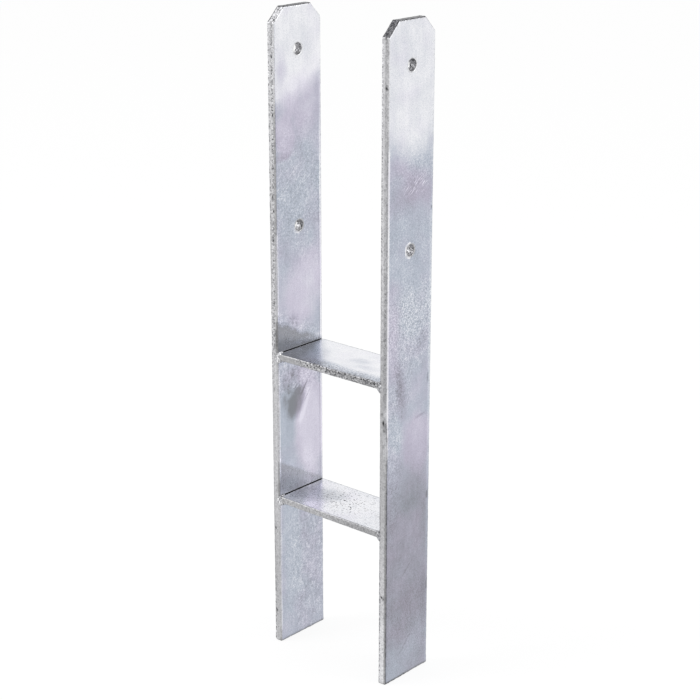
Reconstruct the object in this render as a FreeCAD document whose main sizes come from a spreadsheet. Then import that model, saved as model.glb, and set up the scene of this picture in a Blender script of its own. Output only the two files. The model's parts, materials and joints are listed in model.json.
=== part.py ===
"""H-shaped timber post base: two upright flat bars joined by two welded cross plates.

Frame: +Z up, +X from the left bar to the right one, +Y from front to back.
The origin is on the ground, midway between the two bars. Millimetres.
"""

import FreeCAD, Part
import math
import os
import Sketcher
from FreeCAD import Vector
from Sketcher import Constraint

os.makedirs("parts", exist_ok=True)
doc = FreeCAD.newDocument("timber_post_base")

# ---------------------------------------------------------------- driving dimensions
SIZES = {
    "total_height": 600,        # foot to the top of the side bars
    "opening": 121,             # clear width between the bars, for a 120 mm post
    "bar_width": 60,            # flat stock of bars and plates, front to back
    "bar_thickness": 8,
    "edge_round": 1.2,          # rolled long edges of the flat stock
    "corner_cut": 13,           # both legs of the cut at each top corner of a bar
    "hole_diameter": 11,        # bolt holes, for M10
    "hole_below_top": 38,       # upper hole's centre under the bar's top
    "hole_spacing": 158,        # upper hole to lower hole
    "plate_thickness": 6,
    "upper_plate_top": 290,     # where the post stands
    "lower_plate_top": 150,     # cast into the footing
    "seam_leg": 4,              # fillet weld under each plate end
    "bead_diameter": 10,        # weld bead over the open ends of each joint
    "bead_proud": 1.2,          # bead's height over the edges it joins
}

sheet = doc.addObject("Spreadsheet::Sheet", "Sizes")
for row, (alias, value) in enumerate(SIZES.items(), start=1):
    sheet.set(f"A{row}", alias)
    sheet.set(f"B{row}", str(value))
    sheet.setAlias(f"B{row}", alias)
doc.recompute()


# ---------------------------------------------------------------- sketch and body helpers
def new_body(label):
    """An empty body; its label is the sub-part's name."""
    body = doc.addObject("PartDesign::Body", label)
    body.Label = label
    return body


def place(body, x, y, z, turned=False):
    """Bind a body's position to the sheet; a turned one faces the other way round."""
    if turned:
        body.Placement.Rotation = FreeCAD.Rotation(Vector(0, 0, 1), 180)
    for axis, expression in (("x", x), ("y", y), ("z", z)):
        body.setExpression(f"Placement.Base.{axis}", expression)


def new_sketch(body, name, plane_role):
    """A sketch on one of the body's own origin planes."""
    sketch = body.newObject("Sketcher::SketchObject", name)
    plane = next(f for f in body.Origin.OriginFeatures if f.Role == plane_role)
    sketch.AttachmentSupport = [(plane, "")]
    sketch.MapMode = "FlatFace"
    return sketch


def add_outline(sketch, corners):
    """A closed outline of straight lines through the corners."""
    for start, end in zip(corners, corners[1:] + corners[:1]):
        sketch.addGeometry(Part.LineSegment(Vector(*start, 0), Vector(*end, 0)), False)
    for line in range(len(corners)):
        sketch.addConstraint(Constraint("Coincident", line, 2, (line + 1) % len(corners), 1))


def bind_span(sketch, direction, line, expression):
    """Tie a line's horizontal or vertical reach, end less start, to the sheet."""
    start, end = (1, 2)
    index = sketch.addConstraint(Constraint(direction, line, start, line, end, 1.0))
    sketch.setExpression(f"Constraints[{index}]", expression)


def pad(body, sketch, length, both_ways=False):
    """Extrude a sketch by an expression, to one side or half to each."""
    feature = body.newObject("PartDesign::Pad", "Pad")
    feature.Profile = sketch
    feature.SideType = "Symmetric" if both_ways else "One side"
    feature.setExpression("Length", length)
    return feature


def edges_along(feature, direction, keep=lambda centre: True):
    """Names of a feature's edges that run along a direction and pass the test."""
    doc.recompute()
    names = []
    for number, edge in enumerate(feature.Shape.Edges, start=1):
        run = edge.tangentAt(edge.FirstParameter)
        if abs(run.dot(direction)) > math.cos(math.radians(1)) and keep(edge.CenterOfMass):
            names.append(f"Edge{number}")
    return names


# ---------------------------------------------------------------- flat stock
def flat_stock(body, plane_role, across, up, length, both_ways):
    """A rectangular section about the body's origin, drawn out along its normal."""
    sketch = new_sketch(body, "Section", plane_role)
    add_outline(sketch, [(-1, -1), (1, -1), (1, 1), (-1, 1)])
    for line, direction in enumerate(("Horizontal", "Vertical", "Horizontal", "Vertical")):
        sketch.addConstraint(Constraint(direction, line))
    sketch.addConstraint(Constraint("Symmetric", 0, 1, 2, 1, -1, 1))
    bind_span(sketch, "DistanceX", 0, across)
    bind_span(sketch, "DistanceY", 1, up)
    return pad(body, sketch, length, both_ways)


def round_long_edges(body, feature, direction):
    """The small radius that rolling leaves on the stock's long edges."""
    names = edges_along(feature, direction)
    rounding = body.newObject("PartDesign::Fillet", "RolledEdges")
    rounding.Base = (feature, names)
    rounding.setExpression("Radius", "Sizes.edge_round")
    return rounding


# ---------------------------------------------------------------- sub-parts
def side_bar(label, x):
    """Upright bar with both top corners cut and two bolt holes on its centre line."""
    body = new_body(label)
    stock = flat_stock(body, "XY_Plane", "Sizes.bar_thickness", "Sizes.bar_width",
                       "Sizes.total_height", both_ways=False)

    corners = edges_along(stock, Vector(1, 0, 0), keep=lambda centre: centre.z > 0)
    cut = body.newObject("PartDesign::Chamfer", "TopCorners")
    cut.Base = (stock, corners)
    cut.setExpression("Size", "Sizes.corner_cut")

    solid = round_long_edges(body, cut, Vector(0, 0, 1))
    doc.recompute()
    volume_before = solid.Shape.Volume

    circles = new_sketch(body, "HoleCentres", "YZ_Plane")
    heights = ("Sizes.total_height - Sizes.hole_below_top",
               "Sizes.total_height - Sizes.hole_below_top - Sizes.hole_spacing")
    for number, height in enumerate(heights):
        circles.addGeometry(Part.Circle(Vector(0, 1 + number, 0), Vector(0, 0, 1), 1), False)
        circles.addConstraint(Constraint("PointOnObject", number, 3, -2))
        level = circles.addConstraint(Constraint("DistanceY", -1, 1, number, 3, 1.0))
        circles.setExpression(f"Constraints[{level}]", height)
        bore = circles.addConstraint(Constraint("Diameter", number, 1.0))
        circles.setExpression(f"Constraints[{bore}]", "Sizes.hole_diameter")
    holes = body.newObject("PartDesign::Pocket", "BoltHoles")
    holes.Profile = circles
    holes.Type = "ThroughAll"
    holes.SideType = "Symmetric"

    place(body, x, "0", "0")
    doc.recompute()
    if body.Shape.Volume >= volume_before:
        raise RuntimeError(f"{label}: the bolt holes cut nothing")
    return body


def cross_plate(label, top):
    """Flat plate that spans the opening; top is the height of its upper face."""
    body = new_body(label)
    stock = flat_stock(body, "YZ_Plane", "Sizes.bar_width", "Sizes.plate_thickness",
                       "Sizes.opening", both_ways=True)
    round_long_edges(body, stock, Vector(1, 0, 0))
    place(body, "0", "0", f"{top} - Sizes.plate_thickness / 2")
    return body


def weld_seam(label, x, top, turned):
    """Fillet weld in the corner between a plate's underside and a bar's inner face."""
    body = new_body(label)
    sketch = new_sketch(body, "FilletSection", "XZ_Plane")
    add_outline(sketch, [(0, 0), (1, 0), (0, -1)])
    sketch.addConstraint(Constraint("Coincident", 0, 1, -1, 1))
    sketch.addConstraint(Constraint("Horizontal", 0))
    sketch.addConstraint(Constraint("Vertical", 2))
    bind_span(sketch, "DistanceX", 0, "Sizes.seam_leg")
    bind_span(sketch, "DistanceY", 2, "Sizes.seam_leg")
    pad(body, sketch, "Sizes.bar_width", both_ways=True)
    place(body, x, "0", f"{top} - Sizes.plate_thickness", turned)
    return body


def weld_bead(label, x, y, top, turned):
    """Domed bead that closes a joint's open end, flush with the plate's upper face."""
    body = new_body(label)
    sketch = new_sketch(body, "DomeSection", "XY_Plane")
    rim = SIZES["bead_diameter"] / 2
    proud = SIZES["bead_proud"]
    radius = (rim**2 + proud**2) / (2 * proud)
    sphere = Part.Circle(Vector(0, radius - proud, 0), Vector(0, 0, 1), radius)
    crown_angle = -math.pi / 2
    rim_angle = crown_angle + math.asin(rim / radius)
    sketch.addGeometry(Part.LineSegment(Vector(0, 0, 0), Vector(rim, 0, 0)), False)
    sketch.addGeometry(Part.ArcOfCircle(sphere, crown_angle, rim_angle), False)
    sketch.addGeometry(Part.LineSegment(Vector(0, -proud, 0), Vector(0, 0, 0)), False)
    sketch.addConstraint(Constraint("Coincident", 0, 1, -1, 1))
    sketch.addConstraint(Constraint("Coincident", 0, 2, 1, 2))
    sketch.addConstraint(Constraint("Coincident", 1, 1, 2, 1))
    sketch.addConstraint(Constraint("Coincident", 2, 2, 0, 1))
    sketch.addConstraint(Constraint("Horizontal", 0))
    sketch.addConstraint(Constraint("Vertical", 2))
    sketch.addConstraint(Constraint("PointOnObject", 1, 3, -2))
    bind_span(sketch, "DistanceX", 0, "Sizes.bead_diameter / 2")
    bind_span(sketch, "DistanceY", 2, "Sizes.bead_proud")
    dome = body.newObject("PartDesign::Revolution", "Dome")
    dome.Profile = sketch
    dome.ReferenceAxis = (sketch, ["V_Axis"])
    dome.Angle = 360
    place(body, x, y, f"{top} - Sizes.bead_diameter / 2", turned)
    return body


# ---------------------------------------------------------------- the assembly
BAR_CENTRE = "(Sizes.opening + Sizes.bar_thickness) / 2"
INNER_FACE = "Sizes.opening / 2"
EDGE_PLANE = "Sizes.bar_width / 2"

sub_parts = [side_bar("left_side_bar", f"-{BAR_CENTRE}"),
             side_bar("right_side_bar", BAR_CENTRE)]

for level in ("upper", "lower"):
    plate_top = f"Sizes.{level}_plate_top"
    sub_parts.append(cross_plate(f"{level}_cross_plate", plate_top))
    for side, sign in (("left", "-"), ("right", "")):
        joint = f"{level}_{side}"
        joint_x = f"{sign}{INNER_FACE}"
        sub_parts.append(weld_seam(f"{joint}_seam", joint_x, plate_top, turned=side == "right"))
        sub_parts.append(weld_bead(f"{joint}_front_bead", joint_x, f"-{EDGE_PLANE}",
                                   plate_top, turned=False))
        sub_parts.append(weld_bead(f"{joint}_back_bead", joint_x, EDGE_PLANE,
                                   plate_top, turned=True))

# ---------------------------------------------------------------- checks and export
doc.recompute()
for item in doc.Objects:
    if {"Invalid", "Error"} & set(item.State):
        raise RuntimeError(f"{item.Name} failed: {item.State}")
for body in sub_parts:
    if body.Shape.isNull() or not body.Shape.isValid() or len(body.Shape.Solids) != 1:
        raise RuntimeError(f"{body.Label} isn't one valid solid")
    body.Shape.exportStep(f"parts/{body.Label}.step")
    box = body.Shape.BoundBox
    print(f"{body.Label}: {body.Shape.Volume:.1f} mm3, x {box.XMin:.2f} to {box.XMax:.2f}, "
          f"y {box.YMin:.2f} to {box.YMax:.2f}, z {box.ZMin:.2f} to {box.ZMax:.2f}")
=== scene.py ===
"""Looks of an H-shaped timber post base: flat steel bars and plates, welded and hot-dipped."""

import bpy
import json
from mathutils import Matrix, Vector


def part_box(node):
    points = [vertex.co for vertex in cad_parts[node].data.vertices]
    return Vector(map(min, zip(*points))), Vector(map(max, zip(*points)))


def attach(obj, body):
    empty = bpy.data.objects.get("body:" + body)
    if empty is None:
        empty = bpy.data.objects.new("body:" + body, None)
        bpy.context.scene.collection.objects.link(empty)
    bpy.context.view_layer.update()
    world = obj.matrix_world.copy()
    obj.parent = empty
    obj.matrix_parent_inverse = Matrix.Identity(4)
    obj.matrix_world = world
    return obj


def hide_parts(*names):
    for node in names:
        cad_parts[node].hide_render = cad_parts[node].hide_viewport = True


bl_info = {
    "name": "Timber post base",
    "version": (1, 0, 0),
    "blender": (4, 5, 0),
    "location": "3D View > Sidebar > Post Base",
    "description": "Dresses the welded post base in its zinc coat and lights it",
    "category": "Object",
}

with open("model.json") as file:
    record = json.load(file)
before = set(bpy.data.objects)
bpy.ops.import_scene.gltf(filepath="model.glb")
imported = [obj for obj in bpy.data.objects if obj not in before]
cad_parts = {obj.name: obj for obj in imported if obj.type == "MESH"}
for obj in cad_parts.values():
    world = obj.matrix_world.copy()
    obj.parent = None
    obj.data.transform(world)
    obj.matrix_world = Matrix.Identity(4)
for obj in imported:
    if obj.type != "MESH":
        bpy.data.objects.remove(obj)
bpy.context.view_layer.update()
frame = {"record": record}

import json
import math
from functools import partial

import bpy
import numpy as np
from bpy.props import FloatProperty, PointerProperty, StringProperty
from mathutils import Vector

MM = 0.001
SIDES = ("left", "right")
LEVELS = ("upper", "lower")


# ------------------------------------------------------------------ sizes read from the frame
def node_box(node):
    """Lowest and highest corner of a solid, as two numpy rows."""
    low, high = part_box(node)
    return np.array(low), np.array(high)


def bore(name):
    """Height and radius of a bolt hole, from the record's mounts."""
    mount = next(m for m in frame["record"]["mounts"] if m["name"] == name)
    return mount["pos_m"][2], mount["dims"]["r_mm"] * MM


BOLT_HOLES = [bore("lower_bolt_hole"), bore("upper_bolt_hole")]


# ------------------------------------------------------------------ settings
def metres(name, description, default):
    """A size that the panel shows in the scene's unit of length."""
    return FloatProperty(name=name, description=description, default=default, unit="LENGTH")


def hex_colour(name, description, default):
    """A colour that is kept as its sRGB hex value."""
    return StringProperty(name=name, description=description, default=default)


class BarSettings(bpy.types.PropertyGroup):
    """Form of the upright bars and of the zinc on them."""

    corner_cut: metres("Corner cut", "Legs of the cut at each top corner", 13 * MM)
    edge_round: metres("Edge round", "Radius of the zinc over the edges", 1.4 * MM)
    step_along: metres("Step along", "Mesh spacing up the bar", 1.1 * MM)
    step_across: metres("Step across", "Mesh spacing across the bar", 1.15 * MM)
    waviness: metres("Waviness", "Height of the slow waves in the broad faces", 0.10 * MM)
    edge_lumps: metres("Edge lumps", "Height of the zinc lumps on the narrow edges", 0.22 * MM)
    edge_pits: metres("Edge pits", "Depth of the deep pits in the front edge", 0.55 * MM)
    hole_patch: metres("Hole patch", "Half width of the mesh patch round a bolt hole", 12 * MM)
    hole_fill: metres("Hole fill", "Thickness of the zinc left inside the bolt holes", 0.5 * MM)
    hole_round: metres("Hole round", "Radius of the zinc over the bolt holes' rims", 0.4 * MM)
    hole_lip: metres("Hole lip", "Height of the zinc ring round each bolt hole", 0.10 * MM)
    hole_lumps: metres("Hole lumps", "Height of the lumps in the bolt holes' walls", 0.3 * MM)
    foot_round: metres("Foot round", "Radius of the zinc at the feet's corners", 1.5 * MM)
    foot_drip: metres("Foot drip", "Thickness of the drained zinc round the feet", 0.30 * MM)


class PlateSettings(bpy.types.PropertyGroup):
    """Form of the cross plates and of the zinc on them."""

    step: metres("Step", "Mesh spacing", 1.0 * MM)
    edge_round: metres("Edge round", "Radius of the zinc over the edges", 0.8 * MM)
    waviness: metres("Waviness", "Height of the slow waves in the broad faces", 0.10 * MM)
    edge_lumps: metres("Edge lumps", "Height of the zinc lumps on the narrow edges", 0.28 * MM)
    open_joint: metres("Open joint", "Width of the unwelded crack at each plate end", 0.5 * MM)


class WeldSettings(bpy.types.PropertyGroup):
    """Form of the weld beads and seams."""

    ripple: metres("Ripple", "Spacing of the ripples along a seam", 2.6 * MM)
    lumps: metres("Lumps", "Height of the lumps on the weld metal", 0.6 * MM)
    lap: metres("Lap", "How far a bead runs back over the plate's corner", 6.0 * MM)


class ZincSettings(bpy.types.PropertyGroup):
    """Colours of hot-dip zinc."""

    bright: hex_colour("Bright", "Freshly drained zinc", "F2F2F5")
    bright_lilac: hex_colour("Bright lilac", "Bright zinc, faintly violet", "E2DFEC")
    plain: hex_colour("Plain", "Bluish zinc", "B4BBC8")
    plain_lilac: hex_colour("Plain lilac", "Zinc with violet tarnish", "BAB6C7")
    dull: hex_colour("Dull", "Dull bluish patches", "86898F")
    dull_lilac: hex_colour("Dull lilac", "Dull violet patches", "898790")
    edge: hex_colour("Edge", "Rough zinc on edges", "BFBFC1")
    cut: hex_colour("Cut", "Sheared ends under thin zinc", "444448")
    # The near-black pit colour is used as painted shade in pits, cracks and creases.
    pit: hex_colour("Pit", "Pits and open joints", "1E1E20")


class StageSettings(bpy.types.PropertyGroup):
    """Camera, lamps and floor."""

    azimuth: FloatProperty(
        name="Azimuth", description="Camera's turn from straight in front",
        default=math.radians(41.3), subtype="ANGLE")
    elevation: FloatProperty(
        name="Elevation", description="Camera's angle above the horizon",
        default=math.radians(18.5), subtype="ANGLE")
    distance: metres("Distance", "Camera to the point it looks at", 1.6)
    look_height: metres("Look height", "Height of the point looked at", 0.2994)
    lens: FloatProperty(
        name="Lens", description="Focal length in millimetres", default=92.1)
    key_power: FloatProperty(
        name="Key power", description="Watts of the main soft box", default=20.5)
    fill_power: FloatProperty(
        name="Fill power", description="Watts of the fill soft box", default=11.0)


# ------------------------------------------------------------------ random fields
def random_at(cells, seed):
    """A repeatable random number, 0 to 1, for each whole-number cell (n by 3)."""
    mixed = cells[:, 0] * 73856093 ^ cells[:, 1] * 19349663 ^ cells[:, 2] * 83492791
    mixed = ((mixed ^ seed * 374761393) & 0xFFFFFFFF).astype(np.uint64)
    for shift, factor in ((15, 2246822519), (13, 3266489917)):
        mixed = ((mixed ^ (mixed >> np.uint64(shift))) * np.uint64(factor)) & np.uint64(0xFFFFFFFF)
    return (mixed ^ (mixed >> np.uint64(16))).astype(float) / 0xFFFFFFFF


def field(points, cell, seed):
    """A smooth random field, -1 to 1: random values at the corners of cells of the given
    size in millimetres, blended inside each cell by 6t^5 - 15t^4 + 10t^3."""
    scaled = points / (np.asarray(cell) * MM)
    low = np.floor(scaled).astype(np.int64)
    t = scaled - low
    t = t**3 * (t * (t * 6 - 15) + 10)
    total = np.zeros(len(points))
    for corner in np.ndindex(2, 2, 2):
        weight = np.prod(np.where(np.array(corner) == 1, t, 1 - t), axis=1)
        total += weight * random_at(low + np.array(corner), seed)
    return 2 * total - 1


def rough_field(points, cell, seed, octaves=3):
    """Random fields added up, each half the cell and half the height of the one before."""
    cell = np.asarray(cell, float)
    layers = [field(points, cell / 2**k, seed + k) / 2**k for k in range(octaves)]
    return sum(layers) / sum(0.5**k for k in range(octaves))


def rise(value, start, stop):
    """0 up to start, 1 from stop, and 3t^2 - 2t^3 between them."""
    t = np.clip((value - start) / (stop - start), 0, 1)
    return t * t * (3 - 2 * t)


def bell(value, middle, width):
    """1 at the middle, falling off as exp(-d^2) where d is the distance counted in widths."""
    return np.exp(-((value - middle) / width) ** 2)


def mounds(points, spots):
    """Sum of bell-shaped mounds: each spot is (centre, radii, height) and adds
    height * exp(-d^2) where d is the distance counted in radii."""
    total = np.zeros(len(points))
    for centre, radii, height in spots:
        squared = (((points - np.array(centre)) / np.array(radii)) ** 2).sum(axis=1)
        total += height * np.exp(-squared)
    return total


# ------------------------------------------------------------------ mesh helpers
def vertex_normals(points, faces):
    """Unit normals: for each vertex, the area-weighted mean of its faces' normals."""
    a, b, c, d = (points[faces[:, k]] for k in range(4))
    across = np.cross(c - a, d - b)
    normals = np.zeros_like(points)
    for k in range(4):
        np.add.at(normals, faces[:, k], across)
    return normals / np.maximum(np.linalg.norm(normals, axis=1, keepdims=True), 1e-12)


def outward(points, faces):
    """The faces, turned round if the shell's signed volume says that they point inwards."""
    a, b, c, d = (points[faces[:, k]] for k in range(4))
    volume = (a * np.cross(b, c)).sum() + (a * np.cross(c, d)).sum()
    return faces if volume > 0 else faces[:, ::-1]


def make_piece(name, points, faces, layers, nodes, material):
    """A smooth mesh object that rides on the part's one body and replaces its CAD nodes.
    A face that names a vertex twice is a triangle."""
    corners = [tuple(dict.fromkeys(face)) for face in faces.tolist()]
    mesh = bpy.data.meshes.new(name)
    mesh.from_pydata(points.tolist(), [], corners)
    mesh.polygons.foreach_set("use_smooth", np.ones(len(corners), bool))
    for layer, values in layers.items():
        attribute = mesh.attributes.new(layer, "FLOAT", "POINT")
        values = np.broadcast_to(values, len(points)).astype(np.float32)
        attribute.data.foreach_set("value", values)
    mesh.materials.append(material)
    mesh.update()
    piece = bpy.data.objects.new(name, mesh)
    bpy.context.scene.collection.objects.link(piece)
    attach(piece, "root")
    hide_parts(*nodes)


# ------------------------------------------------------------------ flat stock
EDGE_STEPS = 4      # grid steps over a rounded edge
PATCH_STEPS = 7     # grid steps from a bolt hole's rim to its square patch


def stops(low, high, step, radius, marks=()):
    """Grid lines from low to high: bunched over the rounded edges as 1 - cos of even
    angles, evenly spaced between, and with a line on each mark."""
    insets = radius * (1 - np.cos(np.linspace(0, math.pi / 2, EDGE_STEPS + 1)))
    knots = [low + radius, *marks, high - radius]
    middle = [np.linspace(a, b, max(1, round((b - a) / step)), endpoint=False)
              for a, b in zip(knots, knots[1:])]
    return np.concatenate([low + insets[:-1], *middle, high - insets[::-1]])


def border(index):
    """A grid's outermost vertices in order, anticlockwise."""
    return np.concatenate([index[0, :-1], index[:-1, -1], index[-1, :0:-1], index[:0:-1, 0]])


def quads_between(ring, following):
    """Quads that join two closed rings of equal length."""
    return np.stack([ring, np.roll(ring, -1), np.roll(following, -1), following], axis=1)


def flat_grid(across, along, half_width, radius, holes=(), patch=0.0, hole_round=0.0):
    """Flat sheet of quads. A row at height b runs across to +-half_width(b): the rounded
    margins keep their width and what lies between is squeezed in proportion. Each hole's
    square patch is swapped for rings that go from the square to the circle.
    Returns points (n by 2), inset from the nearest edge, that edge's rounding, quads, and
    the open loops."""
    full = across[-1]
    a, b = np.meshgrid(across, along)
    width = half_width(b)
    margin = full - np.abs(a)
    inner = a * (width - radius) / (full - radius)
    a = np.where(margin < radius, np.sign(a) * (width - margin), inner)
    inset = np.minimum(width - np.abs(a), np.minimum(b - along[0], along[-1] - b))
    index = np.arange(a.size).reshape(a.shape)
    cells = np.stack([index[:-1, :-1], index[:-1, 1:], index[1:, 1:], index[1:, :-1]], axis=-1)
    kept = np.ones(cells.shape[:2], bool)
    points = [np.stack([a.ravel(), b.ravel()], axis=1)]
    insets, rounds = [inset.ravel()], [np.full(a.size, radius)]
    count = a.size
    ring_quads = []
    loops = [border(index)]
    for height, hole_radius in holes:
        low_row, high_row = (np.argmin(abs(along - height - s * patch)) for s in (-1, 1))
        low_col, high_col = (np.argmin(abs(across - s * patch)) for s in (-1, 1))
        kept[low_row:high_row, low_col:high_col] = False
        square = border(index[low_row:high_row + 1, low_col:high_col + 1])
        centre = np.array([0.0, height])
        out = points[0][square] - centre
        reach = np.linalg.norm(out, axis=1, keepdims=True)
        out /= reach
        turn = np.linspace(0, math.pi / 2, EDGE_STEPS + 1)
        rounding = hole_radius + hole_round * (1 - np.cos(turn))
        blend = np.linspace(0, 1, PATCH_STEPS + 1)[1:-1]
        radii = [np.full_like(reach, r) for r in rounding]
        radii += [rounding[-1] + t * (reach - rounding[-1]) for t in blend]
        rings = []
        for ring_radius in radii:
            points.append(centre + out * ring_radius)
            insets.append((ring_radius - hole_radius).ravel())
            rounds.append(np.full(len(square), hole_round))
            rings.append(np.arange(count, count + len(square)))
            count += len(square)
        rings.append(square)
        ring_quads += [quads_between(far, near) for near, far in zip(rings, rings[1:])]
        loops.append(rings[0])
    quads = np.concatenate([cells[kept]] + ring_quads)
    used, quads = np.unique(quads, return_inverse=True)
    quads = quads.reshape(-1, 4)
    renamed = np.full(count, -1)
    renamed[used] = np.arange(len(used))
    points, insets, rounds = (np.concatenate(rows)[used] for rows in (points, insets, rounds))
    return points, insets, rounds, quads, [renamed[loop] for loop in loops]


def thicken(grid, thickness, wall_steps):
    """Closed shell from a flat grid: a sheet on each side, at half the thickness where it
    is flat and on a quarter circle near each edge, and a wall along each open loop.
    Returns points (across, along, out), faces, insets, and which loop's wall (-1: none)."""
    flat, inset, rounded, quads, loops = grid
    gap = rounded - np.clip(inset, 0, rounded)
    half = thickness / 2 - rounded + np.sqrt(np.maximum(rounded**2 - gap**2, 0))
    count = len(flat)
    points = [np.column_stack([flat, half]), np.column_stack([flat, -half])]
    faces = [quads, quads[:, ::-1] + count]
    insets, walls = [inset, inset], [np.full(2 * count, -1)]
    total = 2 * count
    for number, loop in enumerate(loops):
        rings = [loop]
        flat_half = thickness / 2 - rounded[loop[0]]
        for out in np.linspace(flat_half, -flat_half, wall_steps + 1)[1:-1]:
            points.append(np.column_stack([flat[loop], np.full(len(loop), out)]))
            insets.append(np.zeros(len(loop)))
            walls.append(np.full(len(loop), number))
            rings.append(np.arange(total, total + len(loop)))
            total += len(loop)
        rings.append(loop + count)
        towards = 1 if number == 0 else -1
        faces += [quads_between(far, near)[:, ::towards] for near, far in zip(rings, rings[1:])]
    return (np.concatenate(points), np.concatenate(faces),
            np.concatenate(insets), np.concatenate(walls))


# ------------------------------------------------------------------ zinc
def linear(code):
    """A colour's linear red, green, blue and alpha from its sRGB hex value."""
    srgb = [int(code[k:k + 2], 16) / 255 for k in (0, 2, 4)]
    return [c / 12.92 if c <= 0.04045 else ((c + 0.055) / 1.055) ** 2.4 for c in srgb] + [1.0]


def add_node(tree, kind, inputs=None, output=0, **settings):
    """Add one node and hand back one of its outputs: settings are the node's own, and inputs
    fill its sockets, each with a value or with another node's output."""
    node = tree.nodes.new(kind)
    for name, value in settings.items():
        setattr(node, name, value)
    for key, value in (inputs or {}).items():
        if isinstance(value, bpy.types.NodeSocket):
            tree.links.new(value, node.inputs[key])
        else:
            node.inputs[key].default_value = value
    return node.outputs[output] if len(node.outputs) else None


def new_material(name):
    """An empty node material, with add_node tied to its tree."""
    material = bpy.data.materials.new(name)
    material.use_nodes = True
    material.node_tree.nodes.clear()
    return material, partial(add_node, material.node_tree)


# Patterns in the zinc: spacing along X, Y and Z in millimetres, detail, roughness of the
# detail, turn about X in degrees. Flecks are the coat's lumps, painted with glints and shade;
# pits are dark specks, partly pits in the zinc and partly painted shade. Real grain and dust
# are a few tenths of a millimetre wide, and are drawn coarser so that they show.
PATTERNS = {
    "clouds": ((16, 16, 26), 3, 0.55, 0),
    "tints": ((24, 24, 24), 2, 0.50, 0),
    "drain_lines": ((1.6, 1.6, 60), 2, 0.50, 0),
    "grain": ((1.3, 1.3, 1.5), 2, 0.80, 0),
    "dust": ((0.8, 0.8, 0.9), 1, 0.60, 0),
    "flecks": ((1.5, 1.5, 1.5), 2, 0.80, 0),
    "pits": ((2.0, 2.0, 2.0), 1, 0.60, 0),
    "scuffs": ((1.1, 1.1, 9), 2, 0.60, 52),
    "peel": ((7, 7, 9), 2, 0.50, 0),
}

# A colour Mix node's sockets go by place, because their names come up more than once.
FACTOR, FIRST, SECOND = 0, 6, 7
COLOUR_MIX = {"output": 2, "data_type": "RGBA"}
# Dark and light flecks on rough edges and on cut ends: the light ones are painted glints
# on the lumps, and the dark ones are partly painted shade.
FLECKS = {"edge": ("8A8A8E", "E9E9EB"), "cut": ("26262A", "8E8E92")}
LAYERS = ("shine", "tarnish", "sand", "speckle", "scuff", "edge", "cut", "dark")
# Height of the fine lumps in the coat: on rolled stock, and on weld metal.
STOCK_RELIEF, WELD_RELIEF = 0.03 * MM, 0.05 * MM


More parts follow.
